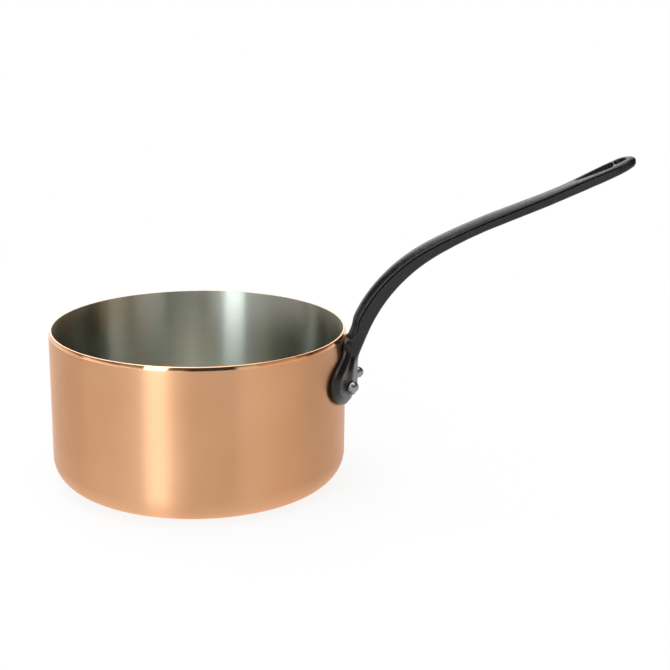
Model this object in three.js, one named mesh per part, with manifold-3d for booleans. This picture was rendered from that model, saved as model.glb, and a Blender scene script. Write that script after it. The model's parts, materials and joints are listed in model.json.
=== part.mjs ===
// Copper saucepan: a straight-sided copper pan lined with stainless steel, with a cast iron
// handle that two solid rivets hold to its wall.
// Millimetres, +Z up. The origin lies on the pan's axis at the level of its flat base, and
// the handle points along +X. Left and right are those of a person holding the handle.

import * as THREE from 'three';
import { mergeVertices } from 'three/addons/utils/BufferGeometryUtils.js';
import Module from 'manifold-3d';

const wasm = await Module();
wasm.setup();

// Pan
const panRadius = 90;
const panHeight = 95;
const copperThickness = 1.5;
const liningThickness = 0.2;
const bondGap = 0.05;
const baseCornerRadius = 17;
const lipDepth = 0.7;
const lipHeight = 1.6;

// Riveting plate of the handle. Drops are measured down from the rim, widths along the
// wall, and thicknesses out from the wall.
const plateTopDrop = 3;
const plateWidestDrop = 27;
const plateLowestDrop = 43.6;
const plateHalfWidth = 32;
const plateTopRounding = 3.5;
const plateNeckHalfWidth = 10;
const shoulderPull = 14.5;
const shoulderRise = 11.5;
const plateEdgeThickness = 2.7;
const chamferWidth = 3.6;
const chamferRise = 2.6;
const plateValleyThickness = 5.2;
const plateLandThickness = 7.6;
const plateCrestThickness = 7.9;
const plateCrestMargin = 8;
const plateSeatGap = 0.1;
const plateRoot = 4;

// Underside line of the handle: up the plate's face, out along the neck, round the bend,
// straight along the grip, and lifting a little towards the tip
const undersideThickness = 8;
const neckStartDrop = 18.4;
const neckBendRadius = 16;
const neckLength = 14;
const bendRadius = 103;
const easeRadius = 246;
const gripLength = 28;
const liftRadius = 345;
const loopLength = 35.8;
const neckSlope = THREE.MathUtils.degToRad(69);
const easeSlope = THREE.MathUtils.degToRad(33);
const gripSlope = THREE.MathUtils.degToRad(24.2);
const loopSlope = THREE.MathUtils.degToRad(28.2);

// Section of the handle, across it and up from its underside
const tailHalfWidth = 4;
const neckHalfWidth = 8;
const gripHalfWidth = 7.5;
const neckDepth = 11;
const bellyDepth = 12.3;
const gripDepth = 7.95;
const loopDepth = 5.9;
const neckCrown = 4.3;
const gripCrown = 3;
const loopCrown = 1.3;
const undersideRounding = 1.6;
const grooveHeight = 0.8;
const grooveDepth = 0.45;
const noseLength = 10;
const noseRounding = 2.6;

// Hanging loop, measured back from the tip along the grip
const loopHalfWidth = 12.8;
const loopTaperLength = 50;
const eyeWall = 4.6;
const eyeLength = 6.4;
const eyeHalfWidth = 7;
const cuspLength = 2.6;
const cuspGap = 2.2;
const slotLength = 22.1;
const slotHalfWidth = 9.2;
const slotEndHalfWidth = 2;
const slotMiddleHalfWidth = 6.6;

// Rivets
const rivetSpacingAngle = THREE.MathUtils.degToRad(18);
const rivetDrop = 30;
const shankRadius = 3;
const shankClearance = 0.15;
const domeRadius = 3.6;
const domeHeight = 3.9;
const spotMargin = 0.5;
const spotDepth = 0.2;
const headRadius = 6.5;
const headHeight = 2.2;
const headEdge = 0.5;
const headGap = 0.1;

// Fineness of the round surfaces
const panFacets = 96;
const rivetFacets = 20;
const cornerSteps = 7;
const lipSteps = 3;
const domeSteps = 5;
const outlineSteps = 9;
const topSteps = 3;
const neckSteps = 3;
const bendSteps = 9;
const easeSteps = 4;
const liftSteps = 4;
const taperSteps = 4;
const roundSteps = 8;
const crownSteps = 4;
const nookSteps = 2;
const eyeSteps = 5;

// From the plate's chamfer to its middle, from the neck to the end of the bend, and from
// there to the tip
const plateRingShares = [0, 0.16, 0.34, 0.52, 0.76, 1];
const bellyShare = 0.06;
const crownFadeShare = 0.66;

// How far a cutter runs past what it cuts, and how near two points are one
const overrun = 2;
const mergeDistance = 0.0001;

const plateTopLevel = panHeight - plateTopDrop;
const plateWidestLevel = panHeight - plateWidestDrop;
const plateLowestLevel = panHeight - plateLowestDrop;
const rivetLevel = panHeight - rivetDrop;
const spotRadius = panRadius + plateLandThickness - spotDepth;

const copper = new THREE.MeshStandardMaterial({ color: 0xc98a5e, roughness: 0.25, metalness: 1 });
const steel = new THREE.MeshStandardMaterial({ color: 0xb9bab4, roughness: 0.35, metalness: 1 });
const castIron = new THREE.MeshStandardMaterial({ color: 0x2e2e2d, roughness: 0.6, metalness: 0.6 });
const rivetSteel = new THREE.MeshStandardMaterial({ color: 0xa9a9a6, roughness: 0.3, metalness: 1 });

// A closed mesh as a solid that can be joined and cut
function toSolid(geometry) {
  const bare = geometry.clone();
  bare.deleteAttribute('normal');
  bare.deleteAttribute('uv');
  const merged = mergeVertices(bare, mergeDistance);
  const index = merged.index.array;
  const corners = [];
  for (let i = 0; i < index.length; i += 3) {
    const [a, b, c] = [index[i], index[i + 1], index[i + 2]];
    if (a !== b && b !== c && c !== a) corners.push(a, b, c);
  }
  return new wasm.Manifold(new wasm.Mesh({
    numProp: 3,
    vertProperties: new Float32Array(merged.attributes.position.array),
    triVerts: new Uint32Array(corners),
  }));
}

function toGeometry(solid) {
  const mesh = solid.getMesh();
  const geometry = new THREE.BufferGeometry();
  geometry.setAttribute('position', new THREE.BufferAttribute(mesh.vertProperties, 3));
  geometry.setIndex(new THREE.BufferAttribute(mesh.triVerts, 1));
  geometry.computeVertexNormals();
  return geometry;
}

// A profile of [radius, height] points turned about the Z axis
function turned(profile, facets) {
  const points = profile.map(([radius, height]) => new THREE.Vector2(radius, height));
  return new THREE.LatheGeometry(points, facets).rotateX(Math.PI / 2);
}

// Points of an elliptic arc from one angle to another, both ends included
function arc(x, y, radiusX, radiusY, from, to, steps) {
  const points = [];
  for (let i = 0; i <= steps; i++) {
    const angle = from + (to - from) * i / steps;
    points.push([x + radiusX * Math.cos(angle), y + radiusY * Math.sin(angle)]);
  }
  return points;
}

// Inside of the pan for a wall that is so much thinner than the copper's outside, from the
// rim down to the axis
function innerProfile(depth) {
  const corner = baseCornerRadius - depth;
  return [
    [panRadius - depth, panHeight],
    ...arc(panRadius - baseCornerRadius, baseCornerRadius, corner, corner, 0, -Math.PI / 2, cornerSteps),
    [0, depth],
  ];
}

function copperProfile() {
  const corner = baseCornerRadius;
  return [
    [0, 0],
    ...arc(panRadius - corner, corner, corner, corner, -Math.PI / 2, 0, cornerSteps),
    ...arc(panRadius - lipDepth, panHeight - lipHeight, lipDepth, lipHeight, 0, Math.PI / 2, lipSteps),
    ...innerProfile(copperThickness),
  ];
}

function liningProfile() {
  const outside = innerProfile(copperThickness + bondGap).reverse();
  return [...outside, ...innerProfile(copperThickness + bondGap + liningThickness)];
}

// A surface through rings of equally many points. The first and the last ring are folded
// flat onto a line, which closes the surface.
function skin(rings) {
  const count = rings[0].length;
  const positions = rings.flat().flatMap((point) => [point.x, point.y, point.z]);
  const index = [];
  for (let ring = 0; ring + 1 < rings.length; ring++) {
    for (let i = 0; i < count; i++) {
      const next = (i + 1) % count;
      const [a, b] = [ring * count + i, ring * count + next];
      const [c, d] = [a + count, b + count];
      index.push(a, b, d, a, d, c);
    }
  }
  const geometry = new THREE.BufferGeometry();
  geometry.setAttribute('position', new THREE.Float32BufferAttribute(positions, 3));
  geometry.setIndex(index);
  return geometry;
}

// The whole ring from its half on one side of the middle plane, whose ends lie in the plane
function mirrored(half) {
  const other = half.slice(1, -1).reverse().map(([across, along]) => [-across, along]);
  return [...half, ...other];
}

// A place on the plate: so far along the wall, at such a level, so far out from the wall
function onWall(along, level, thickness) {
  const angle = along / panRadius;
  const radius = panRadius + thickness;
  return new THREE.Vector3(radius * Math.cos(angle), radius * Math.sin(angle), level);
}

// One half of the plate's outline, from its lowest point round to the middle of its top
function plateHalfOutline() {
  const drop = plateWidestLevel - plateLowestLevel;
  const lower = arc(0, plateWidestLevel, plateHalfWidth, drop, -Math.PI / 2, 0, outlineSteps);
  const cornerLevel = plateTopLevel - plateTopRounding;
  const shoulder = new THREE.CubicBezierCurve(
    new THREE.Vector2(plateHalfWidth, plateWidestLevel),
    new THREE.Vector2(plateHalfWidth, plateWidestLevel + shoulderPull),
    new THREE.Vector2(plateNeckHalfWidth, plateWidestLevel + shoulderRise),
    new THREE.Vector2(plateNeckHalfWidth, cornerLevel),
  ).getPoints(outlineSteps).slice(1, -1).map((point) => [point.x, point.y]);
  const rounding = plateTopRounding;
  const cornerAcross = plateNeckHalfWidth - rounding;
  const top = arc(cornerAcross, cornerLevel, rounding, rounding, 0, Math.PI / 2, topSteps);
  return [...lower, ...shoulder, ...top, [0, plateTopLevel]];
}

// The half outline moved inwards, square to itself
function inset(half, distance) {
  return half.map(([across, level], i) => {
    const before = i > 0 ? half[i - 1] : [-half[1][0], half[1][1]];
    const after = i + 1 < half.length ? half[i + 1] : [-half[i - 1][0], half[i - 1][1]];
    const direction = new THREE.Vector2(after[0] - before[0], after[1] - before[1]).normalize();
    return [across - distance * direction.y, level + distance * direction.x];
  });
}

// The plate: its straight edge, the chamfer round its face, a shallow valley inside the
// chamfer, and the raised land that carries the rivets
function plateSolid() {
  const outline = plateHalfOutline();
  const faceEdge = inset(outline, chamferWidth);
  const lowest = plateLowestLevel + plateCrestMargin;
  const highest = plateTopLevel - plateTopRounding;
  const middle = outline.map(([, level]) => [0, Math.min(Math.max(level, lowest), highest)]);
  const faceThicknesses = [
    plateEdgeThickness + chamferRise,
    plateValleyThickness,
    plateValleyThickness,
    plateLandThickness,
    plateLandThickness,
    plateCrestThickness,
  ];
  const ringAt = (half, thickness) => (
    mirrored(half).map(([along, level]) => onWall(along, level, thickness))
  );
  const rings = [
    ringAt(middle, -plateRoot),
    ringAt(outline, -plateRoot),
    ringAt(outline, plateEdgeThickness),
  ];
  plateRingShares.forEach((share, i) => {
    const half = faceEdge.map(([across, level], k) => [
      across * (1 - share),
      level + (middle[k][1] - level) * share,
    ]);
    rings.push(ringAt(half, faceThicknesses[i]));
  });
  return toSolid(skin(rings));
}

// Shares at which a stretch is cut into equal steps
function evenShares(steps) {
  return Array.from({ length: steps }, (_, i) => (i + 1) / steps);
}

// Stations along the underside line: the place and slope there, the stretch that it belongs
// to, its share of that stretch and how far it is from the tip
function undersideStations() {
  const stations = [];
  let place = new THREE.Vector2(panRadius + undersideThickness, panHeight - neckStartDrop);
  let travel = 0;
  const upwards = (slope) => new THREE.Vector2(-Math.sin(slope), Math.cos(slope));
  const turn = (from, to, radius, steps, stretch) => {
    const side = from > to ? radius : -radius;
    const length = radius * Math.abs(to - from);
    const centre = place.clone().addScaledVector(upwards(from), -side);
    for (const share of evenShares(steps)) {
      const slope = from + (to - from) * share;
      place = centre.clone().addScaledVector(upwards(slope), side);
      stations.push({ place, slope, stretch, travel: travel + length * share });
    }
    travel += length;
  };
  const run = (slope, length, shares, stretch) => {
    const start = place;
    const heading = new THREE.Vector2(Math.cos(slope), Math.sin(slope));
    for (const share of shares) {
      place = start.clone().addScaledVector(heading, length * share);
      stations.push({ place, slope, stretch, travel: travel + length * share });
    }
    travel += length;
  };
  const roundStart = 1 - loopHalfWidth / loopLength;
  const taperShares = evenShares(taperSteps).map((share) => share * roundStart);
  const roundShares = evenShares(roundSteps).map((share) => (
    roundStart + (1 - roundStart) * Math.sin(share * Math.PI / 2)
  ));
  stations.push({ place, slope: Math.PI / 2, stretch: 'tail', travel });
  turn(Math.PI / 2, neckSlope, neckBendRadius, neckSteps, 'tail');
  run(neckSlope, neckLength, evenShares(neckSteps), 'neck');
  turn(neckSlope, easeSlope, bendRadius, bendSteps, 'bend');
  turn(easeSlope, gripSlope, easeRadius, easeSteps, 'bend');
  run(gripSlope, gripLength, [1], 'grip');
  turn(gripSlope, loopSlope, liftRadius, liftSteps, 'grip');
  run(loopSlope, loopLength, [...taperShares, ...roundShares], 'grip');
  const endOf = (stretch) => stations.findLast((station) => station.stretch === stretch).travel;
  const starts = { tail: 0, neck: endOf('tail'), bend: endOf('neck'), grip: endOf('bend') };
  return stations.map((station) => {
    const start = starts[station.stretch];
    const share = (station.travel - start) / (endOf(station.stretch) - start);
    return { ...station, share, fromTip: travel - station.travel };
  });
}

// What is left of a size so far from the tip, where it closes in a quarter of an ellipse
function roundedShare(fromTip, length) {
  const inside = Math.max(length - fromTip, 0) / length;
  return Math.sqrt(1 - inside ** 2);
}

// Sizes of the handle's section at a station
function sectionAt({ stretch, share, fromTip }) {
  const { lerp, smoothstep } = THREE.MathUtils;
  if (stretch === 'tail') {
    return { halfWidth: lerp(tailHalfWidth, neckHalfWidth, share), depth: neckDepth, crown: neckCrown };
  }
  if (stretch === 'neck') {
    return { halfWidth: neckHalfWidth, depth: neckDepth, crown: neckCrown };
  }
  if (stretch === 'bend') {
    return {
      halfWidth: lerp(neckHalfWidth, gripHalfWidth, share),
      depth: share < bellyShare
        ? lerp(neckDepth, bellyDepth, smoothstep(share, 0, bellyShare))
        : lerp(bellyDepth, gripDepth, smoothstep(share, bellyShare, 1)),
      crown: lerp(neckCrown, gripCrown, share),
    };
  }
  const widening = 1 - smoothstep(fromTip, loopHalfWidth, loopTaperLength);
  return {
    halfWidth: lerp(gripHalfWidth, loopHalfWidth, widening) * roundedShare(fromTip, loopHalfWidth),
    depth: lerp(gripDepth, loopDepth, share),
    crown: lerp(gripCrown, loopCrown, Math.min(share / crownFadeShare, 1)),
    upperShare: roundedShare(fromTip, noseLength),
    lowerShare: roundedShare(fromTip, noseRounding),
  };
}

// Half of the section, from the middle of the underside round to the crown's crest: a
// rounded lower edge, an upright side, a fine groove and the crown
function halfSection({ halfWidth, depth, crown, upperShare = 1, lowerShare = 1 }) {
  const rounding = Math.min(undersideRounding, halfWidth / 2);
  const groove = Math.min(grooveDepth, halfWidth / 4);
  const side = depth - crown;
  const corner = arc(halfWidth - rounding, rounding, rounding, rounding, -Math.PI / 2, 0, nookSteps);
  const points = [
    [0, 0],
    ...corner,
    [halfWidth, side - grooveHeight],
    [halfWidth - groove, side - grooveHeight / 2],
    ...arc(0, side, halfWidth, crown, 0, Math.PI / 2, crownSteps),
  ];
  const middle = depth / 2;
  return points.map(([across, height]) => (
    [across, middle + (height - middle) * (height > middle ? upperShare : lowerShare)]
  ));
}

function handleBar() {
  const stations = undersideStations();
  const ringAt = ({ place, slope }, half) => mirrored(half).map(([across, height]) => new THREE.Vector3(
    place.x - height * Math.sin(slope),
    across,
    place.y + height * Math.cos(slope),
  ));
  const folded = (half) => half.map(([, height]) => [0, height]);
  const halves = stations.map((station) => halfSection(sectionAt(station)));
  const rings = stations.slice(0, -1).map((station, i) => ringAt(station, halves[i]));
  const first = ringAt(stations[0], folded(halves[0]));
  const last = ringAt(stations.at(-1), folded(halves.at(-1)));
  return toSolid(skin([first, ...rings, last]));
}

// The hanging hole as seen square to the grip: a slot that widens towards the tip, then two
// cusps and a half-round eye. Its corners are measured back from the tip.
function hangingHole() {
  const eyeEnd = -eyeWall;
  const eyeStart = eyeEnd - eyeLength;
  const slotEnd = eyeStart - cuspLength;
  const slotStart = slotEnd - slotLength;
  const cuspAt = (eyeStart + slotEnd) / 2;
  const half = [
    [slotStart, 0],
    [slotStart + slotEndHalfWidth / 2, slotEndHalfWidth],
    [(slotStart + slotEnd) / 2, slotMiddleHalfWidth],
    [slotEnd, slotHalfWidth],
    [cuspAt, cuspGap / 2],
    ...arc(eyeStart, 0, eyeLength, eyeHalfWidth, Math.PI / 2, 0, eyeSteps),
  ];
  const other = half.slice(1, -1).reverse().map(([along, across]) => [along, -across]);
  const outline = [...half, ...other].map(([along, across]) => new THREE.Vector2(along, across));
  const depth = loopDepth + 2 * overrun;
  const cutter = new THREE.ExtrudeGeometry(new THREE.Shape(outline), { depth, bevelEnabled: false });
  const tip = undersideStations().at(-1).place;
  cutter.translate(0, 0, -overrun).rotateY(-loopSlope).translate(tip.x, 0, tip.y);
  return toSolid(cutter);
}

// A turned profile laid along a rivet's axis, from the pan's axis outwards
function onRivetAxis(profile, side) {
  const lying = turned(profile, rivetFacets).rotateY(Math.PI / 2).translate(0, 0, rivetLevel);
  return lying.rotateZ(side * rivetSpacingAngle / 2);
}

// A plain cylinder on a rivet's axis, as a cutter
function rivetCutter(radius, from, to, side) {
  return toSolid(onRivetAxis([[0, from], [radius, from], [radius, to], [0, to]], side));
}

function rivetHole(side) {
  return rivetCutter(shankRadius + shankClearance, panRadius / 2, spotRadius + overrun, side);
}

// The flat spot on the plate that a dome sits on
function rivetSpot(side) {
  return rivetCutter(domeRadius + spotMargin, spotRadius, spotRadius + domeHeight + overrun, side);
}

// A solid rivet: a low head inside the pan, the shank, and a tall dome on the plate
function rivetSolid(side) {
  const liningRadius = panRadius - copperThickness - bondGap - liningThickness;
  const headSeat = Math.sqrt(liningRadius ** 2 - headRadius ** 2) - headGap;
  const domeSeat = spotRadius + headGap;
  const headRim = headSeat - headEdge;
  const head = arc(headRim, 0, headHeight - headEdge, headRadius, Math.PI, Math.PI / 2, domeSteps);
  const dome = arc(domeSeat, 0, domeHeight, domeRadius, Math.PI / 2, 0, domeSteps);
  const profile = [
    ...head.map(([along, across]) => [across, along]),
    [headRadius, headSeat],
    [shankRadius, headSeat],
    [shankRadius, domeSeat],
    ...dome.map(([along, across]) => [across, along]),
  ];
  profile[0][0] = 0;
  profile.at(-1)[0] = 0;
  return toSolid(onRivetAxis(profile, side));
}

function wallCutter() {
  const radius = panRadius + plateSeatGap;
  const top = panHeight * 2;
  return toSolid(turned([[0, -overrun], [radius, -overrun], [radius, top], [0, top]], panFacets));
}

function drilled(solid) {
  return solid.subtract(rivetHole(1)).subtract(rivetHole(-1));
}

function handleSolid() {
  const casting = plateSolid().add(handleBar()).subtract(wallCutter()).subtract(hangingHole());
  return drilled(casting).subtract(rivetSpot(1)).subtract(rivetSpot(-1));
}

function piece(name, solid, material) {
  const mesh = new THREE.Mesh(toGeometry(solid), material);
  mesh.name = name;
  return mesh;
}

const saucepan = new THREE.Group();
saucepan.add(
  piece('copper_shell', drilled(toSolid(turned(copperProfile(), panFacets))), copper),
  piece('steel_lining', drilled(toSolid(turned(liningProfile(), panFacets))), steel),
  piece('cast_iron_handle', handleSolid(), castIron),
  piece('rivet_left', rivetSolid(-1), rivetSteel),
  piece('rivet_right', rivetSolid(1), rivetSteel),
);

export default saucepan;
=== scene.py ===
import json
from math import cos, degrees, hypot, pi, radians, sin, sqrt

import bmesh
import bpy
from mathutils import Matrix, Vector

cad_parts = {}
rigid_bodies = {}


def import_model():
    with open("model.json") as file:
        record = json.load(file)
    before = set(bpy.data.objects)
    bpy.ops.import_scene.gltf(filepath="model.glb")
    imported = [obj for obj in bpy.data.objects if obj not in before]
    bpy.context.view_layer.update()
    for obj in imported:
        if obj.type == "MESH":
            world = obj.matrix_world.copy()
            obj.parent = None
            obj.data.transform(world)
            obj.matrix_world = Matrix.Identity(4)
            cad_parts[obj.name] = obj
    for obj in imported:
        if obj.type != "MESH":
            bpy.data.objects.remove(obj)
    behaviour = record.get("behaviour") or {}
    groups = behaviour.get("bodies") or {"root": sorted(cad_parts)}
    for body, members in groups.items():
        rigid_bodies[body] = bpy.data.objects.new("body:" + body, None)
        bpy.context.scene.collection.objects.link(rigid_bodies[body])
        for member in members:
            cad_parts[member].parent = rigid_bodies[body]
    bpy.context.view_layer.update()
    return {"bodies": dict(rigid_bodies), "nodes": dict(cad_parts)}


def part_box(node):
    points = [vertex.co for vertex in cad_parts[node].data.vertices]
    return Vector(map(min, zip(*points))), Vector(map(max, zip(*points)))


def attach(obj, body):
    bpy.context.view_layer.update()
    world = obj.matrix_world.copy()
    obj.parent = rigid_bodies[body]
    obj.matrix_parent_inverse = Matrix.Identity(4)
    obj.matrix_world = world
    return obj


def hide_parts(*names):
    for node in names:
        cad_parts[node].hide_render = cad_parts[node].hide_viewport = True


# The copper saucepan: every piece is modelled in millimetres round the pan's axis, with the
# base at zero and the handle along +X, and is brought to metres when it is finished
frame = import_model()
mm = 0.001
sharpAngle = radians(38)  # steeper edges than this stay sharp
mergeDistance = 0.001
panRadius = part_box("copper_shell")[1].x / mm
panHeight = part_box("copper_shell")[1].z / mm
body = next(iter(frame["bodies"]))
print("frame loaded:", sorted(frame["nodes"]))


# Shader building

# A socket in a shader. Sums written on it add Math nodes.
class Wire:
    def __init__(self, graph, socket):
        self.graph = graph
        self.socket = socket

    def __add__(self, other):
        return self.graph.maths("ADD", self, other)

    def __sub__(self, other):
        return self.graph.maths("SUBTRACT", self, other)

    def __rsub__(self, other):
        return self.graph.maths("SUBTRACT", other, self)

    def __mul__(self, other):
        return self.graph.maths("MULTIPLY", self, other)

    __radd__ = __add__
    __rmul__ = __mul__


# The nodes of one material or world
class Graph:
    def __init__(self, owner):
        owner.use_nodes = True
        self.tree = owner.node_tree
        self.tree.nodes.clear()

    # Settings come first, then the values or links of the sockets
    def add(self, kind, settings=None, inputs=None, output=0):
        node = self.tree.nodes.new("ShaderNode" + kind)
        for name, value in (settings or {}).items():
            setattr(node, name, value)
        for name, value in (inputs or {}).items():
            if isinstance(value, Wire):
                self.tree.links.new(value.socket, node.inputs[name])
            else:
                node.inputs[name].default_value = value
        return Wire(self, node.outputs[output]) if node.outputs else None

    def maths(self, operation, *values):
        return self.add("Math", {"operation": operation}, dict(enumerate(values)))

    def blend(self, share, first, second):
        return self.add("Mix", {"data_type": "RGBA"}, {0: share, 6: first, 7: second}, 2)

    # 0 below low, 1 above high, smooth between
    def step(self, value, low, high):
        settings = {"interpolation_type": "SMOOTHSTEP"}
        return self.add("MapRange", settings, {"Value": value, "From Min": low, "From Max": high})

    def noise(self, place, scale, detail=2.0, roughness=0.5):
        inputs = {"Vector": place, "Scale": scale, "Detail": detail, "Roughness": roughness}
        return self.add("TexNoise", None, inputs)

    # The object's own place, in metres, as a vector and as its three parts
    def place(self):
        vector = self.add("TexCoord", output="Object")
        parts = [self.add("SeparateXYZ", None, {0: vector}, axis) for axis in range(3)]
        return vector, parts

    def bump(self, look, height):
        inputs = {"Strength": look["bump"], "Distance": look["bumpHeight"], "Height": height}
        return self.add("Bump", None, inputs)

    def surface(self, inputs):
        shader = self.add("BsdfPrincipled", None, inputs)
        self.add("OutputMaterial", None, {"Surface": shader})


# Lines that run round the axis, on a wall and on a base alike
def turnedLines(graph, look):
    _, (x, y, z) = graph.place()
    radius = graph.maths("SQRT", x * x + y * y)
    spread, fineness = look["lineSpread"], look["lineFineness"]
    place = graph.add("CombineXYZ", None, {0: x * spread, 1: y * spread, 2: (z - radius) * fineness})
    return graph.noise(place, 1, look["lineDetail"], look["lineBreakUp"])


# Scales are in waves per metre, and each roughening is how much a pattern adds to the roughness
copperLook = {
    "colour": (0.91, 0.50, 0.275, 1),
    "dulled": (0.88, 0.47, 0.25, 1),
    "dulling": (0.35, 0.7),
    "roughness": 0.42,
    "lipRoughness": 0.12,
    "lipFade": 0.0002,
    "anisotropy": 1.0,
    "turn": 0.25,
    "lineSpread": 45,
    "lineFineness": 2400,
    "lineDetail": 4,
    "lineBreakUp": 0.6,
    "lineRoughening": 0.06,
    "cloudScale": 22,
    "cloudRoughening": 0.03,
    "bump": 0.04,
    "bumpHeight": 0.0001,
}


def polishedCopper():
    look = copperLook
    material = bpy.data.materials.new("polishedCopper")
    graph = Graph(material)
    place, (_, _, z) = graph.place()
    lines = turnedLines(graph, look)
    clouds = graph.noise(place, look["cloudScale"], 3)
    lipLevel = (panHeight - shellSize["lipHeight"]) * mm
    lip = graph.step(z, lipLevel - look["lipFade"], lipLevel + look["lipFade"])
    satin = look["roughness"] + (lines - 0.5) * look["lineRoughening"]
    satin = satin + (clouds - 0.5) * look["cloudRoughening"]
    dull = graph.step(clouds, *look["dulling"])
    graph.surface({
        "Base Color": graph.blend(dull, look["colour"], look["dulled"]),
        "Metallic": 1.0,
        "Roughness": satin * (1 - lip) + lip * look["lipRoughness"],
        "Anisotropic": look["anisotropy"],
        "Anisotropic Rotation": look["turn"],
        "Normal": graph.bump(look, lines),
    })
    return material


liningLook = {
    "colour": (0.55, 0.55, 0.475, 1),
    "worn": (0.48, 0.475, 0.41, 1),
    "wear": (0.3, 0.75),
    "roughness": 0.30,
    "anisotropy": 1.0,
    "turn": 0.25,
    "lineSpread": 45,
    "lineFineness": 3200,
    "lineDetail": 5,
    "lineBreakUp": 0.65,
    "lineRoughening": 0.10,
    "cloudScale": 30,
    "cloudRoughening": 0.04,
    "bump": 0.08,
    "bumpHeight": 0.0001,
}


def brushedSteel():
    look = liningLook
    material = bpy.data.materials.new("brushedSteel")
    graph = Graph(material)
    place, _ = graph.place()
    lines = turnedLines(graph, look)
    clouds = graph.noise(place, look["cloudScale"], 3)
    satin = look["roughness"] + (lines - 0.5) * look["lineRoughening"]
    worn = graph.step(lines, *look["wear"])
    graph.surface({
        "Base Color": graph.blend(worn, look["colour"], look["worn"]),
        "Metallic": 1.0,
        "Roughness": satin + (clouds - 0.5) * look["cloudRoughening"],
        "Anisotropic": look["anisotropy"],
        "Anisotropic Rotation": look["turn"],
        "Normal": graph.bump(look, lines),
    })
    return material


ironLook = {
    "colour": (0.005, 0.005, 0.0048, 1),
    "bare": (0.022, 0.022, 0.021, 1),
    "roughness": 0.33,
    "ior": 1.45,
    "grainScale": 1500,
    "grainHeight": 0.5,
    "grainRoughening": 0.2,
    "patchScale": 240,
    "patchHeight": 1.6,
    "pitScale": 420,
    "pitEdge": (0.10, 0.32),
    "pitDepth": 0.5,
    "pitRoughening": 0.12,
    "specks": (0.28, 0.42),
    "speckShare": 0.8,
    "bump": 0.5,
    "bumpHeight": 0.00025,
}


# Black cast iron with a thin film of oil, which shines at a slant
def castIron():
    look = ironLook
    material = bpy.data.materials.new("blackCastIron")
    graph = Graph(material)
    place, _ = graph.place()
    grain = graph.noise(place, look["grainScale"], 3, 0.6)
    patches = graph.noise(place, look["patchScale"], 3, 0.6)
    cells = graph.add("TexVoronoi", None, {"Vector": place, "Scale": look["pitScale"]})
    pits = 1 - graph.step(cells, *look["pitEdge"])
    relief = grain * look["grainHeight"] - pits * look["pitDepth"] + patches * look["patchHeight"]
    specks = graph.step(grain * patches, *look["specks"]) * look["speckShare"]
    matt = look["roughness"] + (grain - 0.5) * look["grainRoughening"]
    graph.surface({
        "Base Color": graph.blend(specks, look["colour"], look["bare"]),
        "Metallic": 0.0,
        "IOR": look["ior"],
        "Roughness": matt + pits * look["pitRoughening"],
        "Normal": graph.bump(look, relief),
    })
    return material


rivetLook = {
    "colour": (0.30, 0.30, 0.29, 1),
    "roughness": 0.27,
    "markScale": 900,
    "markHeight": 0.3,
    "markRoughening": 0.2,
    "dentScale": 420,
    "bump": 0.6,
    "bumpHeight": 0.0006,
}


def rivetSteel():
    look = rivetLook
    material = bpy.data.materials.new("rivetSteel")
    graph = Graph(material)
    place, _ = graph.place()
    marks = graph.noise(place, look["markScale"], 2)
    dents = graph.noise(place, look["dentScale"], 1)
    graph.surface({
        "Base Color": look["colour"],
        "Metallic": 1.0,
        "Roughness": look["roughness"] + (marks - 0.5) * look["markRoughening"],
        "Normal": graph.bump(look, marks * look["markHeight"] + dents),
    })
    return material


# Mesh building

# Brings a finished bmesh to metres and makes it a piece that stands for CAD nodes
def finished(name, bm, material, slotName, *nodes):
    bmesh.ops.scale(bm, vec=(mm, mm, mm), verts=bm.verts)
    mesh = bpy.data.meshes.new(name)
    bm.to_mesh(mesh)
    bm.free()
    piece = bpy.data.objects.new(name, mesh)
    bpy.context.scene.collection.objects.link(piece)
    piece.data.materials.append(material)
    piece.data.shade_smooth()
    piece.data.set_sharp_from_angle(angle=sharpAngle)
    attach(piece, body)
    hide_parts(*nodes)
    print("made", piece.name, len(piece.data.polygons), "faces")


# Turns a profile of (radius, height) points round the axis. Roundings give the corners that
# are rounded, each by its place in the profile, as a size and a number of steps.
def turnedPiece(profile, roundings, steps):
    bm = bmesh.new()
    corners = [bm.verts.new((radius, 0, height)) for radius, height in profile]
    for pair in zip(corners, corners[1:]):
        bm.edges.new(pair)
    for index, (size, segments) in roundings.items():
        bmesh.ops.bevel(bm, geom=[corners[index]], offset=size, offset_type="OFFSET",
                        segments=segments, profile=0.5, affect="VERTICES", material=-1)
    bmesh.ops.spin(bm, geom=bm.verts[:] + bm.edges[:], cent=(0, 0, 0), axis=(0, 0, 1),
                   angle=2 * pi, steps=steps, use_merge=True)
    bmesh.ops.remove_doubles(bm, verts=bm.verts, dist=mergeDistance)
    bmesh.ops.recalc_face_normals(bm, faces=bm.faces)
    return bm


shellSize = {
    "wall": 1.5,
    "corner": 17,
    "cornerSteps": 20,
    "innerCornerSteps": 12,
    "lipDepth": 0.7,
    "lipHeight": 2.2,
    "lipEase": 0.3,
    "rimEase": 0.3,
    "easeSteps": 4,
    "steps": 288,
}


def copperShell(material):
    size = shellSize
    inside = panRadius - size["wall"]
    profile = [
        (0, 0),
        (panRadius, 0),
        (panRadius, panHeight - size["lipHeight"]),
        (panRadius - size["lipDepth"], panHeight),
        (inside, panHeight),
        (inside, size["wall"]),
        (0, size["wall"]),
    ]
    roundings = {
        1: (size["corner"], size["cornerSteps"]),
        2: (size["lipEase"], size["easeSteps"]),
        3: (size["rimEase"], size["easeSteps"]),
        5: (size["corner"] - size["wall"], size["innerCornerSteps"]),
    }
    bm = turnedPiece(profile, roundings, size["steps"])
    finished("shell", bm, material, "copper", "copper_shell")


liningSize = {
    "thickness": 0.2,
    "gap": 0.05,
    "edge": 0.08,
    "edgeSteps": 2,
    "cornerSteps": 20,
    "steps": 288,
}


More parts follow.
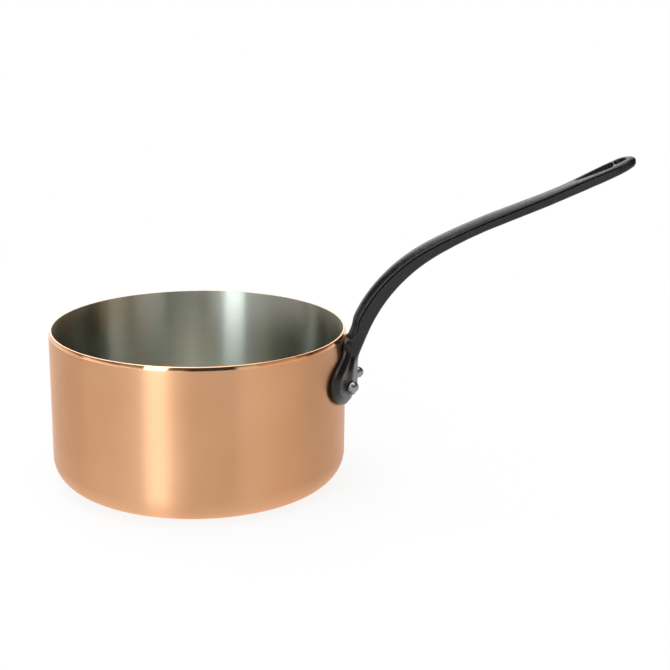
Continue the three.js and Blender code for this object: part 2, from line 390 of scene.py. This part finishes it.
def steelLining(material):
    size = liningSize
    outer = shellSize["wall"] + size["gap"]
    inner = outer + size["thickness"]
    profile = [
        (0, inner),
        (panRadius - inner, inner),
        (panRadius - inner, panHeight),
        (panRadius - outer, panHeight),
        (panRadius - outer, outer),
        (0, outer),
    ]
    roundings = {
        1: (shellSize["corner"] - inner, size["cornerSteps"]),
        2: (size["edge"], size["edgeSteps"]),
        4: (shellSize["corner"] - outer, size["cornerSteps"]),
    }
    bm = turnedPiece(profile, roundings, size["steps"])
    finished("lining", bm, material, "lining_steel", "steel_lining")


# Handle

# Drops are heights below the rim, and shares run from the plate's chamfer to its middle
plateSize = {
    "topDrop": 3,
    "widestDrop": 27,
    "lowestDrop": 43.6,
    "halfWidth": 32,
    "topRounding": 3.5,
    "neckHalfWidth": 10,
    "shoulderPull": 14.5,
    "shoulderRise": 11.5,
    "edgeThickness": 2.7,
    "chamferWidth": 3.6,
    "chamferRise": 2.6,
    "valley": 5.2,
    "land": 7.6,
    "crest": 7.9,
    "valleyEnd": 0.16,
    "landStart": 0.30,
    "landEnd": 0.54,
    "crestStart": 0.76,
    "crestMargin": 8,
    "seatGap": 0.1,
    "root": 4,
    "outlineSteps": 24,
    "cornerSteps": 6,
    "faceSteps": 24,
}

barSize = {
    "underside": 8,
    "startDrop": 18.4,
    "neckBend": 16,
    "neckLength": 14,
    "bendRadius": 103,
    "easeRadius": 246,
    "gripLength": 28,
    "liftRadius": 345,
    "loopLength": 35.8,
    "neckSlope": radians(69),
    "easeSlope": radians(33),
    "gripSlope": radians(24.2),
    "loopSlope": radians(28.2),
    "tailHalfWidth": 4,
    "neckHalfWidth": 8,
    "gripHalfWidth": 7.5,
    "loopHalfWidth": 12.8,
    "taperLength": 50,
    "neckDepth": 11,
    "bellyDepth": 12.3,
    "gripDepth": 7.95,
    "loopDepth": 5.9,
    "neckCrown": 4.3,
    "gripCrown": 3,
    "loopCrown": 1.3,
    "crownFade": 0.66,
    "lowerRounding": 1.6,
    "noseLength": 10,
    "noseRounding": 2.6,
    "bellyShare": 0.06,
    "tailSteps": 6,
    "neckSteps": 10,
    "bendSteps": 40,
    "easeSteps": 24,
    "gripSteps": 10,
    "liftSteps": 14,
    "loopSteps": 60,
    "noseSteps": 28,
    "lowerSteps": 4,
    "crownSteps": 12,
}

grooveSize = {
    "start": 12,
    "fadeIn": 16,
    "fadeOut": 14,
    "least": 0.15,
    "height": 0.9,
    "depth": 0.7,
    "proud": 0.6,
    "drop": 0.4,
}

holeSize = {
    "wall": 4.6,
    "eyeLength": 6.4,
    "eyeHalfWidth": 7,
    "cuspLength": 2.6,
    "cuspGap": 2.2,
    "slotLength": 22.1,
    "slotHalfWidth": 9.2,
    "slotMiddle": 6.6,
    "slotEnd": 2,
    "eyeSteps": 12,
    "cutDepth": 17.7,
}

castSize = {
    "voxel": 0.45,
    "smoothing": 12,
    "smoothingShare": 0.5,
    "waviness": 0.12,
    "waveLength": 5,
    "filletReach": 13,
    "filletRounds": 40,
}


def mixed(first, second, share):
    return first + (second - first) * share


def eased(value, low, high):
    share = min(max((value - low) / (high - low), 0), 1)
    return share * share * (3 - 2 * share)


def arcPoints(x, y, radiusX, radiusY, start, end, steps):
    angles = [mixed(start, end, i / steps) for i in range(steps + 1)]
    return [(x + radiusX * cos(angle), y + radiusY * sin(angle)) for angle in angles]


# A skin through rings of equally many vertices, with both ends closed
def loft(rings):
    bm = bmesh.new()
    loops = []
    for ring in rings:
        corners = [bm.verts.new(point) for point in ring]
        loops.append([bm.edges.new(pair) for pair in zip(corners, corners[1:] + corners[:1])])
    for before, after in zip(loops, loops[1:]):
        bmesh.ops.bridge_loops(bm, edges=before + after)
    bmesh.ops.edgeloop_fill(bm, edges=loops[0])
    bmesh.ops.edgeloop_fill(bm, edges=loops[-1])
    bmesh.ops.recalc_face_normals(bm, faces=bm.faces)
    if bm.calc_volume(signed=True) < 0:
        bmesh.ops.reverse_faces(bm, faces=bm.faces)
    return bm


def bothSides(half):
    return half + [(-across, along) for across, along in reversed(half[1:-1])]


# Half of the plate's outline, from its lowest point round to the middle of its top
def plateOutline(steps):
    size = plateSize
    widest = panHeight - size["widestDrop"]
    top = panHeight - size["topDrop"]
    drop = size["lowestDrop"] - size["widestDrop"]
    lower = arcPoints(0, widest, size["halfWidth"], drop, -pi / 2, 0, steps)
    pulls = [
        Vector((size["halfWidth"], widest)),
        Vector((size["halfWidth"], widest + size["shoulderPull"])),
        Vector((size["neckHalfWidth"], widest + size["shoulderRise"])),
        Vector((size["neckHalfWidth"], top - size["topRounding"])),
    ]
    shoulder = []
    for i in range(1, steps):
        t = i / steps
        weights = ((1 - t) ** 3, 3 * t * (1 - t) ** 2, 3 * t * t * (1 - t), t ** 3)
        pulled = (pull * weight for pull, weight in zip(pulls, weights))
        shoulder.append(tuple(sum(pulled, Vector((0, 0)))))
    rounding = size["topRounding"]
    corner = arcPoints(size["neckHalfWidth"] - rounding, top - rounding, rounding, rounding,
                       0, pi / 2, size["cornerSteps"])
    return lower + shoulder + corner + [(0, top)]


# The outline moved inwards by a distance, square to itself
def insetOutline(half, distance):
    moved = []
    for i, (across, level) in enumerate(half):
        before = half[i - 1] if i > 0 else (-half[1][0], half[1][1])
        after = half[i + 1] if i + 1 < len(half) else (-half[i - 1][0], half[i - 1][1])
        length = hypot(after[0] - before[0], after[1] - before[1])
        moved.append((across - distance * (after[1] - before[1]) / length,
                      level + distance * (after[0] - before[0]) / length))
    return moved


def plateCasting():
    size = plateSize
    outline = plateOutline(size["outlineSteps"])
    face = insetOutline(outline, size["chamferWidth"])
    lowest = panHeight - size["lowestDrop"] + size["crestMargin"]
    highest = panHeight - size["topDrop"] - size["topRounding"]
    middle = [(0, min(max(level, lowest), highest)) for _, level in outline]

    def ringAt(half, thickness):
        radius = panRadius + thickness
        return [(radius * cos(along / panRadius), radius * sin(along / panRadius), level)
                for along, level in bothSides(half)]

    rings = [ringAt(outline, -size["root"]), ringAt(outline, size["edgeThickness"])]
    for i in range(size["faceSteps"]):
        share = i / size["faceSteps"]
        half = [(across * (1 - share), mixed(level, end, share))
                for (across, level), (_, end) in zip(face, middle)]
        rings.append(ringAt(half, faceThickness(share)))
    return loft(rings)


# Thickness of the plate from the inner edge of its chamfer to its middle
def faceThickness(share):
    size = plateSize
    shoulder = size["edgeThickness"] + size["chamferRise"]
    rim = mixed(shoulder, size["valley"], eased(share, 0, size["valleyEnd"]))
    land = mixed(rim, size["land"], eased(share, size["landStart"], size["landEnd"]))
    return mixed(land, size["crest"], eased(share, size["crestStart"], 1))


# Places along the underside of the handle, from the plate to the tip, each with its slope,
# the stretch that it lies on and how far along the handle it is, and the handle's length
def undersidePlaces():
    size = barSize
    places = []
    place = Vector((panRadius + size["underside"], panHeight - size["startDrop"]))
    travel = 0

    def upwards(slope):
        return Vector((-sin(slope), cos(slope)))

    def turn(start, end, radius, steps, stretch):
        nonlocal place, travel
        side = radius if start > end else -radius
        centre = place - upwards(start) * side
        length = radius * abs(end - start)
        for i in range(1, steps + 1):
            slope = mixed(start, end, i / steps)
            place = centre + upwards(slope) * side
            places.append((place, slope, stretch, travel + length * i / steps))
        travel += length

    def run(slope, length, steps, stretch):
        nonlocal place, travel
        start = place
        for i in range(1, steps + 1):
            place = start + Vector((cos(slope), sin(slope))) * length * i / steps
            places.append((place, slope, stretch, travel + length * i / steps))
        travel += length

    places.append((place, pi / 2, "tail", 0))
    turn(pi / 2, size["neckSlope"], size["neckBend"], size["tailSteps"], "tail")
    run(size["neckSlope"], size["neckLength"], size["neckSteps"], "neck")
    turn(size["neckSlope"], size["easeSlope"], size["bendRadius"], size["bendSteps"], "bend")
    turn(size["easeSlope"], size["gripSlope"], size["easeRadius"], size["easeSteps"], "bend")
    run(size["gripSlope"], size["gripLength"], size["gripSteps"], "grip")
    turn(size["gripSlope"], size["loopSlope"], size["liftRadius"], size["liftSteps"], "grip")
    run(size["loopSlope"], size["loopLength"] - size["loopHalfWidth"], size["loopSteps"], "grip")
    for i in range(size["noseSteps"]):  # closer together towards the tip
        turned = [sin((i + step) / size["noseSteps"] * pi / 2) for step in (0, 1)]
        run(size["loopSlope"], size["loopHalfWidth"] * (turned[1] - turned[0]), 1, "grip")
    return places, travel


# What is left of a size so far from the tip, where it closes in a quarter of an ellipse
def roundedShare(fromTip, length):
    return sqrt(max(1 - (max(length - fromTip, 0) / length) ** 2, 0))


# Half width, depth, crown, and how much is left of the section's upper and lower half
def sectionSizes(stretch, share, fromTip):
    size = barSize
    if stretch in ("tail", "neck"):
        start = size["tailHalfWidth"] if stretch == "tail" else size["neckHalfWidth"]
        width = mixed(start, size["neckHalfWidth"], share)
        return width, size["neckDepth"], size["neckCrown"], 1, 1
    if stretch == "bend":
        belly = size["bellyShare"]
        if share < belly:
            depth = mixed(size["neckDepth"], size["bellyDepth"], eased(share, 0, belly))
        else:
            depth = mixed(size["bellyDepth"], size["gripDepth"], eased(share, belly, 1))
        width = mixed(size["neckHalfWidth"], size["gripHalfWidth"], share)
        return width, depth, mixed(size["neckCrown"], size["gripCrown"], share), 1, 1
    loop = size["loopHalfWidth"]
    widening = 1 - eased(fromTip, loop, size["taperLength"])
    width = mixed(size["gripHalfWidth"], loop, widening) * roundedShare(fromTip, loop)
    crown = mixed(size["gripCrown"], size["loopCrown"], min(share / size["crownFade"], 1))
    return (width, mixed(size["gripDepth"], size["loopDepth"], share), crown,
            roundedShare(fromTip, size["noseLength"]), roundedShare(fromTip, size["noseRounding"]))


# Half of the handle's cross section, from the middle of the underside up to the crown
def halfSection(width, depth, crown, upper, lower):
    size = barSize
    rounding = min(size["lowerRounding"], width / 2)
    half = [(0, 0)]
    half += arcPoints(width - rounding, rounding, rounding, rounding, -pi / 2, 0, size["lowerSteps"])
    half += arcPoints(0, depth - crown, width, crown, 0, pi / 2, size["crownSteps"])
    return [(across, drawnIn(height, depth, upper, lower)) for across, height in half]


# A height in the section, drawn in towards the middle where the nose is rounded
def drawnIn(height, depth, upper, lower):
    middle = depth / 2
    return middle + (height - middle) * (upper if height > middle else lower)


# Stations along the handle: a place on the underside, its slope, how far it lies along, and
# the sizes of the section there
def barStations():
    places, length = undersidePlaces()
    ends = {stretch: travel for _, _, stretch, travel in places}
    starts = {"tail": 0, "neck": ends["tail"], "bend": ends["neck"], "grip": ends["bend"]}
    stations = []
    for place, slope, stretch, travel in places[:-1]:
        share = (travel - starts[stretch]) / (ends[stretch] - starts[stretch])
        stations.append((place, slope, travel, sectionSizes(stretch, share, length - travel)))
    return stations


def inSpace(place, slope, along, across, height):
    return (place.x + along * cos(slope) - height * sin(slope), across,
            place.y + along * sin(slope) + height * cos(slope))


def barCasting():
    rings = []
    for place, slope, _, sizes in barStations():
        section = bothSides(halfSection(*sizes))
        rings.append([inSpace(place, slope, 0, across, height) for across, height in section])
    return loft(rings)


# A thin cutter that follows the line under the crown, out along one side, round the tip and
# back along the other
def grooveCutter():
    size = grooveSize
    out = []
    for place, slope, travel, (width, depth, crown, upper, lower) in barStations():
        if travel > size["start"]:
            height = drawnIn(depth - crown - size["drop"], depth, upper, lower)
            out.append((place, slope, travel, width, height))
    tip = travel
    back = [(place, slope, travel, -width, height)
            for place, slope, travel, width, height in reversed(out)]
    path = out + back
    rings = []
    for i, (place, slope, travel, across, height) in enumerate(path):
        _, _, lastTravel, lastAcross, _ = path[max(i - 1, 0)]
        _, _, nextTravel, nextAcross, _ = path[min(i + 1, len(path) - 1)]
        outwards = Vector((lastAcross - nextAcross, nextTravel - lastTravel)).normalized()
        share = eased(travel, size["start"], size["start"] + size["fadeIn"])
        share = mixed(size["least"], 1, share * eased(tip - travel, 0, size["fadeOut"]))
        half, deep = size["height"] / 2 * share, size["depth"] * share
        corners = [(size["proud"], 0), (0, half), (-deep, 0), (0, -half)]
        rings.append([inSpace(place, slope, outwards.x * off, across + outwards.y * off, height + rise)
                      for off, rise in corners])
    return loft(rings)


# A cutter for the round eye and the pointed slot behind it, with a cusp on each side between
def hangingHole():
    size = holeSize
    places, _ = undersidePlaces()
    tip = places[-1][0]
    eyeEnd = -size["wall"]
    eyeStart = eyeEnd - size["eyeLength"]
    slotEnd = eyeStart - size["cuspLength"]
    slotStart = slotEnd - size["slotLength"]
    half = [
        (0, slotStart),
        (size["slotEnd"], slotStart + size["slotEnd"] / 2),
        (size["slotMiddle"], (slotStart + slotEnd) / 2),
        (size["slotHalfWidth"], slotEnd),
        (size["cuspGap"] / 2, (eyeStart + slotEnd) / 2),
    ]
    half += [(across, along) for along, across in
             arcPoints(eyeStart, 0, size["eyeLength"], size["eyeHalfWidth"], pi / 2, 0, size["eyeSteps"])]
    bm = bmesh.new()
    corners = [bm.verts.new((along, across, 0)) for across, along in bothSides(half)]
    outline = bm.faces.new(corners)
    walls = bmesh.ops.extrude_face_region(bm, geom=[outline])
    top = [part for part in walls["geom"] if isinstance(part, bmesh.types.BMVert)]
    bmesh.ops.translate(bm, vec=(0, 0, size["cutDepth"]), verts=top)
    bmesh.ops.recalc_face_normals(bm, faces=bm.faces)
    lean = Matrix.Rotation(-barSize["loopSlope"], 4, "Y")
    stand = Matrix.Translation((tip.x, 0, tip.y))
    sink = Matrix.Translation((0, 0, (barSize["loopDepth"] - size["cutDepth"]) / 2))
    bmesh.ops.transform(bm, matrix=stand @ lean @ sink, verts=bm.verts)
    return bm


# The pan's outside as a solid, three pans tall so that it reaches past the plate both ways
def wallBlank():
    bm = bmesh.new()
    radius = panRadius + plateSize["seatGap"]
    bmesh.ops.create_cone(bm, cap_ends=True, segments=shellSize["steps"], radius1=radius, radius2=radius,
                          depth=3 * panHeight)
    return bm


# An object that isn't a piece: a cutter, a blank or the floor
def helper(name, bm):
    mesh = bpy.data.meshes.new(name)
    bm.to_mesh(mesh)
    bm.free()
    thing = bpy.data.objects.new(name, mesh)
    bpy.context.scene.collection.objects.link(thing)
    return thing


# The whole casting: plate and bar fused, the wall and the hanging hole taken out, the edges
# softened as sand casting leaves them, and the line under the crown cut last
def castHandle(material):
    size = castSize
    plate = helper("plateBlank", plateCasting())
    blank = barCasting()
    blank.from_mesh(plate.data)
    casting = helper("handle", blank)
    wall = helper("wall", wallBlank())
    hole = helper("hole", hangingHole())
    groove = helper("groove", grooveCutter())
    waves = bpy.data.textures.new("castWaves", "CLOUDS")
    waves.noise_scale = size["waveLength"]
    fuse = {"mode": "VOXEL", "voxel_size": size["voxel"]}
    cut = {"operation": "DIFFERENCE", "solver": "EXACT"}
    steps = [
        ("REMESH", fuse),
        ("BOOLEAN", cut | {"object": wall}),
        ("BOOLEAN", cut | {"object": hole}),
        ("REMESH", fuse),
        ("SMOOTH", {"factor": size["smoothingShare"], "iterations": size["smoothing"]}),
        ("DISPLACE", {"texture": waves, "strength": size["waviness"], "mid_level": 0.5}),
        ("BOOLEAN", cut | {"object": groove}),
    ]
    for kind, settings in steps:
        modifier = casting.modifiers.new(kind, kind)
        for name, value in settings.items():
            setattr(modifier, name, value)
    bpy.context.view_layer.update()
    shaped = casting.evaluated_get(bpy.context.evaluated_depsgraph_get())
    bm = bmesh.new()
    bm.from_mesh(shaped.to_mesh())
    shaped.to_mesh_clear()
    for thing in (casting, plate, wall, hole, groove):
        bpy.data.objects.remove(thing)
    fillRoot(bm)
    finished("handle", bm, material, "cast_iron", "cast_iron_handle")


# Rounds the corner between the plate and the neck, clear of the wall
def fillRoot(bm):
    size = castSize
    root = Vector((panRadius + barSize["underside"], 0, panHeight - barSize["startDrop"] / 2))
    face = panRadius + plateSize["edgeThickness"]
    near = [corner for corner in bm.verts if (corner.co - root).length < size["filletReach"]
            and hypot(corner.co.x, corner.co.y) > face]
    for _ in range(size["filletRounds"]):
        bmesh.ops.smooth_vert(bm, verts=near, factor=size["smoothingShare"],
                              use_axis_x=True, use_axis_y=True, use_axis_z=True)


rivetSize = {
    "spacing": radians(18),
    "drop": 30,
    "shank": 3,
    "dome": 3.6,
    "domeHeight": 3.9,
    "domeSeat": 7.5,
    "head": 6.5,
    "headHeight": 2.2,
    "headEdge": 0.5,
    "headGap": 0.1,
    "headSteps": 12,
    "domeSteps": 14,
    "steps": 64,
}


# A rivet is turned upright, then laid along its axis through the wall
def rivet(name, side, material, node):
    size = rivetSize
    inside = panRadius - shellSize["wall"] - liningSize["gap"] - liningSize["thickness"]
    headSeat = sqrt(inside ** 2 - size["head"] ** 2) - size["headGap"]
    domeSeat = panRadius + size["domeSeat"]
    headRim = headSeat - size["headEdge"]
    headRise = size["headHeight"] - size["headEdge"]
    head = arcPoints(0, headRim, size["head"], headRise, -pi / 2, 0, size["headSteps"])
    shank = [(size["head"], headSeat), (size["shank"], headSeat), (size["shank"], domeSeat)]
    dome = arcPoints(0, domeSeat, size["dome"], size["domeHeight"], 0, pi / 2, size["domeSteps"])
    profile = head + shank + dome
    bm = turnedPiece(profile, {}, size["steps"])
    lie = Matrix.Rotation(pi / 2, 4, "Y")
    lift = Matrix.Translation((0, 0, panHeight - size["drop"]))
    aim = Matrix.Rotation(side * size["spacing"] / 2, 4, "Z")
    bmesh.ops.transform(bm, matrix=aim @ lift @ lie, verts=bm.verts)
    finished(name, bm, material, "rivet_steel", node)


# Stage, light and camera

# The direction from the pan out to an azimuth and an elevation, both in degrees
def towards(azimuth, elevation):
    turn, rise = radians(azimuth), radians(elevation)
    return Vector((sin(turn) * cos(rise), -cos(turn) * cos(rise), sin(rise)))


cameraView = {
    "azimuth": 12,
    "elevation": 18.17,
    "distance": 0.864,
    "aimHeight": 0.04725,
    "yaw": -5.617,
    "pitch": 2.564,
    "roll": -1.01,
    "lens": 74.53,
    "sensor": 36,
    "nearest": 0.05,
    "farthest": 50,
}


def placeCamera():
    view = cameraView
    back = towards(view["azimuth"], view["elevation"])
    data = bpy.data.cameras.new("camera")
    data.sensor_width = view["sensor"]
    data.lens = view["lens"]
    data.clip_start = view["nearest"]
    data.clip_end = view["farthest"]
    camera = bpy.data.objects.new("camera", data)
    bpy.context.scene.collection.objects.link(camera)
    turn = Matrix.Rotation(radians(view["azimuth"]), 4, "Z")
    turn = turn @ Matrix.Rotation(radians(90 - view["elevation"]), 4, "X")
    turn = turn @ Matrix.Rotation(radians(view["yaw"]), 4, "Y")
    turn = turn @ Matrix.Rotation(radians(view["pitch"]), 4, "X")
    turn = turn @ Matrix.Rotation(radians(view["roll"]), 4, "Z")
    place = Vector((0, 0, view["aimHeight"])) + back * view["distance"]
    camera.matrix_world = Matrix.Translation(place) @ turn
    bpy.context.scene.camera = camera


# 1 for rays from the camera and for those that metal or glass sends on
def seenByEye(graph):
    rays = [graph.add("LightPath", output=name) for name in
            ("Is Camera Ray", "Is Glossy Ray", "Is Transmission Ray")]
    return graph.maths("MINIMUM", rays[0] + rays[1] + rays[2], 1.0)


floorLook = {
    "colour": (0.85, 0.85, 0.85, 1),
    "size": 40,
    "squares": 4,
    "rimHeight": 1.2,
    "whitening": 0.88,
    "nearRadius": 0.30,
    "farRadius": 0.75,
}


# A pale floor that keeps the object's shadow, white where the camera and metal see it and
# fully so away from the object, with a low rim at its far edge so that it fills a low view
def layFloor():
    look = floorLook
    bm = bmesh.new()
    squares = look["squares"]
    bmesh.ops.create_grid(bm, x_segments=squares, y_segments=squares, size=look["size"] / 2)
    edge = [line for line in bm.edges if line.is_boundary]
    rim = bmesh.ops.extrude_edge_only(bm, edges=edge)["geom"]
    corners = [part for part in rim if isinstance(part, bmesh.types.BMVert)]
    bmesh.ops.translate(bm, verts=corners, vec=(0, 0, look["rimHeight"]))
    bmesh.ops.recalc_face_normals(bm, faces=bm.faces)
    floor = helper("floor", bm)
    material = bpy.data.materials.new("paleFloor")
    graph = Graph(material)
    _, (x, y, _) = graph.place()
    radius = graph.maths("SQRT", x * x + y * y)
    away = graph.step(radius, look["nearRadius"], look["farRadius"])
    whiteness = away + (1 - away) * look["whitening"]
    matt = graph.add("BsdfDiffuse", None, {"Color": look["colour"]})
    white = graph.add("Emission", None, {"Color": (1, 1, 1, 1), "Strength": 1.0})
    share = seenByEye(graph) * whiteness
    shader = graph.add("MixShader", None, {0: share, 1: matt, 2: white})
    graph.add("OutputMaterial", None, {"Surface": shader})
    floor.data.materials.append(material)


# A tall soft lamp at the left of the front, which makes the bright streak down the wall
stripLamp = {
    "azimuth": -20.5,
    "elevation": 24,
    "distance": 1.2,
    "aim": (0.02, 0, 0.05),
    "width": 0.34,
    "height": 1.0,
    "watts": 3.2,
    "colour": (0.88, 1.0, 1.10),
}


def hangLamp():
    plan = stripLamp
    data = bpy.data.lights.new("leftStrip", "AREA")
    data.shape = "RECTANGLE"
    data.size = plan["width"]
    data.size_y = plan["height"]
    data.energy = plan["watts"]
    data.color = plan["colour"]
    lamp = bpy.data.objects.new("leftStrip", data)
    bpy.context.scene.collection.objects.link(lamp)
    back = towards(plan["azimuth"], plan["elevation"])
    lamp.location = Vector(plan["aim"]) + back * plan["distance"]
    lamp.rotation_euler = back.to_track_quat("Z", "Y").to_euler()


# The studio round the object: a bright ceiling and soft walls in front of the dark. Each band
# is from an azimuth to an azimuth, counted to the right from the camera's side, between two
# elevations, all in degrees, then how far its edges fade, its level and its colour.
plain, warm, amber, cool = (1, 1, 1), (1, 0.84, 0.70), (1, 0.62, 0.34), (0.80, 1, 1.10)
studioWalls = {
    "dark": 0.02,
    "bands": [
        (-180, 180, 62, 100, 6, 3.2, plain),
        (-95, -10, -20, 12, 4, 1.65, plain),
        (-150, -95, -20, 8, 4, 1.0, warm),
        (28, 62, -20, 12, 4, 0.95, warm),
        (62, 88, -20, 12, 4, 0.95, amber),
        (88, 150, -20, 8, 3, 0.3, amber),
        (-64, -20, 36, 62, 4, 1.6, cool),
        (-95, -64, 36, 62, 4, 0.6, plain),
        (-178, -116, 40, 62, 4, 2.6, plain),
        (-20, 28, 36, 62, 4, 0.45, cool),
        (46, 82, 36, 62, 4, 0.8, warm),
        (28, 44, 12, 22, 2, 0.9, cool),
        (44, 80, 12, 24, 3, 0.5, warm),
        (-62, -38, 12, 22, 3, 0.3, plain),
        (152, 190, -20, 45, 4, 0.8, warm),
        (-190, -152, -20, 36, 4, 1.3, plain),
        (166, 190, 12, 26, 2, 1.2, plain),
        (-190, -166, 12, 26, 2, 1.2, plain),
    ],
}


def surround():
    look = studioWalls
    world = bpy.data.worlds.new("studio")
    bpy.context.scene.world = world
    graph = Graph(world)
    direction = graph.add("TexCoord", output="Generated")
    azimuth = radians(cameraView["azimuth"])
    product = {"operation": "DOT_PRODUCT"}
    front, side = (sin(azimuth), -cos(azimuth), 0), (cos(azimuth), sin(azimuth), 0)
    near = graph.add("VectorMath", product, {0: direction, 1: front}, 1)
    right = graph.add("VectorMath", product, {0: direction, 1: side}, 1)
    up = graph.add("SeparateXYZ", None, {0: direction}, 2)
    bearing = graph.maths("ARCTAN2", right, near) * degrees(1)
    rise = graph.maths("ARCSINE", up) * degrees(1)

    def between(value, low, high, fade):
        past = graph.step(value, high - fade, high + fade)
        return graph.step(value, low - fade, low + fade) * (1 - past)

    light = [look["dark"]] * 3
    for start, end, low, high, fade, level, colour in look["bands"]:
        inside = between(bearing, start, end, fade) * between(rise, low, high, fade)
        band = graph.add("VectorMath", {"operation": "SCALE"}, {0: colour, "Scale": inside * level})
        light = graph.add("VectorMath", {"operation": "ADD"}, {0: light, 1: band})
    background = graph.add("Background", None, {"Color": light, "Strength": 1.0})
    graph.add("OutputWorld", None, {"Surface": background})


copper = polishedCopper()
steel = brushedSteel()
iron = castIron()
rivetMetal = rivetSteel()
print("four finishes made")
copperShell(copper)
steelLining(steel)
castHandle(iron)
rivet("rivetLeft", -1, rivetMetal, "rivet_left")
rivet("rivetRight", 1, rivetMetal, "rivet_right")
layFloor()
hangLamp()
surround()
placeCamera()
bpy.context.scene.view_settings.view_transform = "Standard"
print("floor, lamp, studio and camera set")
